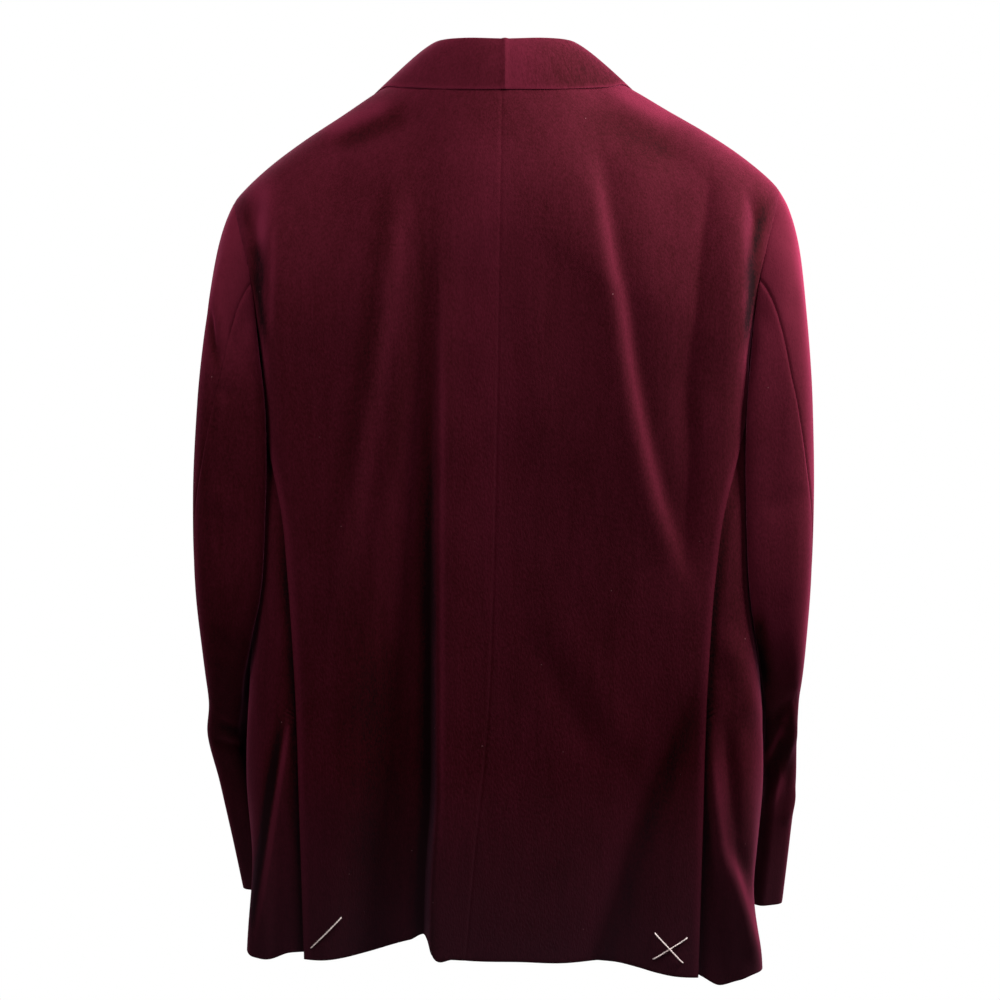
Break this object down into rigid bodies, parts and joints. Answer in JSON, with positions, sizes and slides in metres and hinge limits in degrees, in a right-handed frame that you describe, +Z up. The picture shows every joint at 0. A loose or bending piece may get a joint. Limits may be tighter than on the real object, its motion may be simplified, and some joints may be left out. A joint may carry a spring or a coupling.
{
  "type": "tuxedo jacket",
  "caption": "Velvet tuxedo jacket with a shawl collar, set-in two-piece sleeves and side vents, standing open and hollow as if worn.",
  "frame": {"origin": "midway between the two neck points of the shoulder seams, where the wearer's shoulders carry the jacket", "axes": "+Z up, +Y out of the jacket's front, -Y out of its back, +X towards the wearer's right"},
  "size_m": [0.5262, 0.2852, 0.7908],
  "materials": {
    "burgundy_velvet": "short cotton pile with a soft sheen and a visible nap",
    "button_velvet": "pile cloth drawn tight over a domed button",
    "basting_thread": "undyed cotton tacking thread, matt"
  },
  "bodies": {
    "root": {"back_left": "burgundy_velvet", "back_right": "burgundy_velvet", "side_left": "burgundy_velvet", "side_right": "burgundy_velvet", "front_left": "burgundy_velvet", "front_right": "burgundy_velvet", "sleeve_top_left": "burgundy_velvet", "sleeve_top_right": "burgundy_velvet", "sleeve_under_left": "burgundy_velvet", "sleeve_under_right": "burgundy_velvet", "collar_left": "burgundy_velvet", "collar_right": "burgundy_velvet", "front_button": "button_velvet"}
  },
  "joints": []
}
